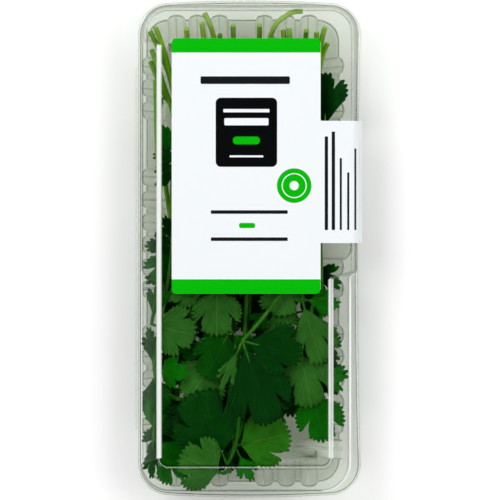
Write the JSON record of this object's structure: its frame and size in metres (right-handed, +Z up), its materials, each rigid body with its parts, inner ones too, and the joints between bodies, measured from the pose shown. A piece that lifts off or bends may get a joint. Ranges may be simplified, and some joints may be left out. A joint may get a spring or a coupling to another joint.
{
  "type": "coriander bunch in hinged clear pack",
  "caption": "Bunch of cut leafy coriander sprigs lying in a clear fluted tray, under a hinged clear lid that carries a paper label with a tab over the opening edge.",
  "frame": {"origin": "centre of the pack's outline, on the surface that the tray rests on", "axes": "+Z up through the lid, +Y along the pack towards the cut stem ends, +X towards the edge that opens, with the hinge along the -X edge"},
  "size_m": [0.0948, 0.208, 0.0315],
  "materials": {
    "clear_plastic": "clear, smooth and glossy thin formed sheet",
    "label_paper": "smooth white coated paper with plain green bands",
    "coriander_green": "fresh leaf: dark satin green above, paler and duller below, with pale green stems"
  },
  "bodies": {
    "tray": {"tray": "clear_plastic", "hinge_bead": "clear_plastic", "sprig_01": "coriander_green", "sprig_02": "coriander_green", "sprig_03": "coriander_green", "sprig_04": "coriander_green", "sprig_05": "coriander_green", "sprig_06": "coriander_green", "sprig_07": "coriander_green", "sprig_08": "coriander_green", "sprig_09": "coriander_green", "sprig_10": "coriander_green", "sprig_11": "coriander_green", "sprig_12": "coriander_green", "sprig_13": "coriander_green", "sprig_14": "coriander_green", "sprig_15": "coriander_green", "sprig_16": "coriander_green", "sprig_17": "coriander_green", "sprig_18": "coriander_green", "sprig_19": "coriander_green", "sprig_20": "coriander_green", "sprig_21": "coriander_green", "sprig_22": "coriander_green", "sprig_23": "coriander_green", "sprig_24": "coriander_green", "sprig_25": "coriander_green", "sprig_26": "coriander_green", "sprig_27": "coriander_green", "sprig_28": "coriander_green", "sprig_29": "coriander_green", "sprig_30": "coriander_green", "sprig_31": "coriander_green"},
    "lid": {"lid": "clear_plastic", "label": "label_paper"}
  },
  "joints": [
    {"name": "lid_hinge", "type": "hinge", "parent": "tray", "child": "lid", "pos_m": [-0.047, 0, 0.0226], "axis": [0, -1, 0], "range_deg": [0, 180]}
  ]
}
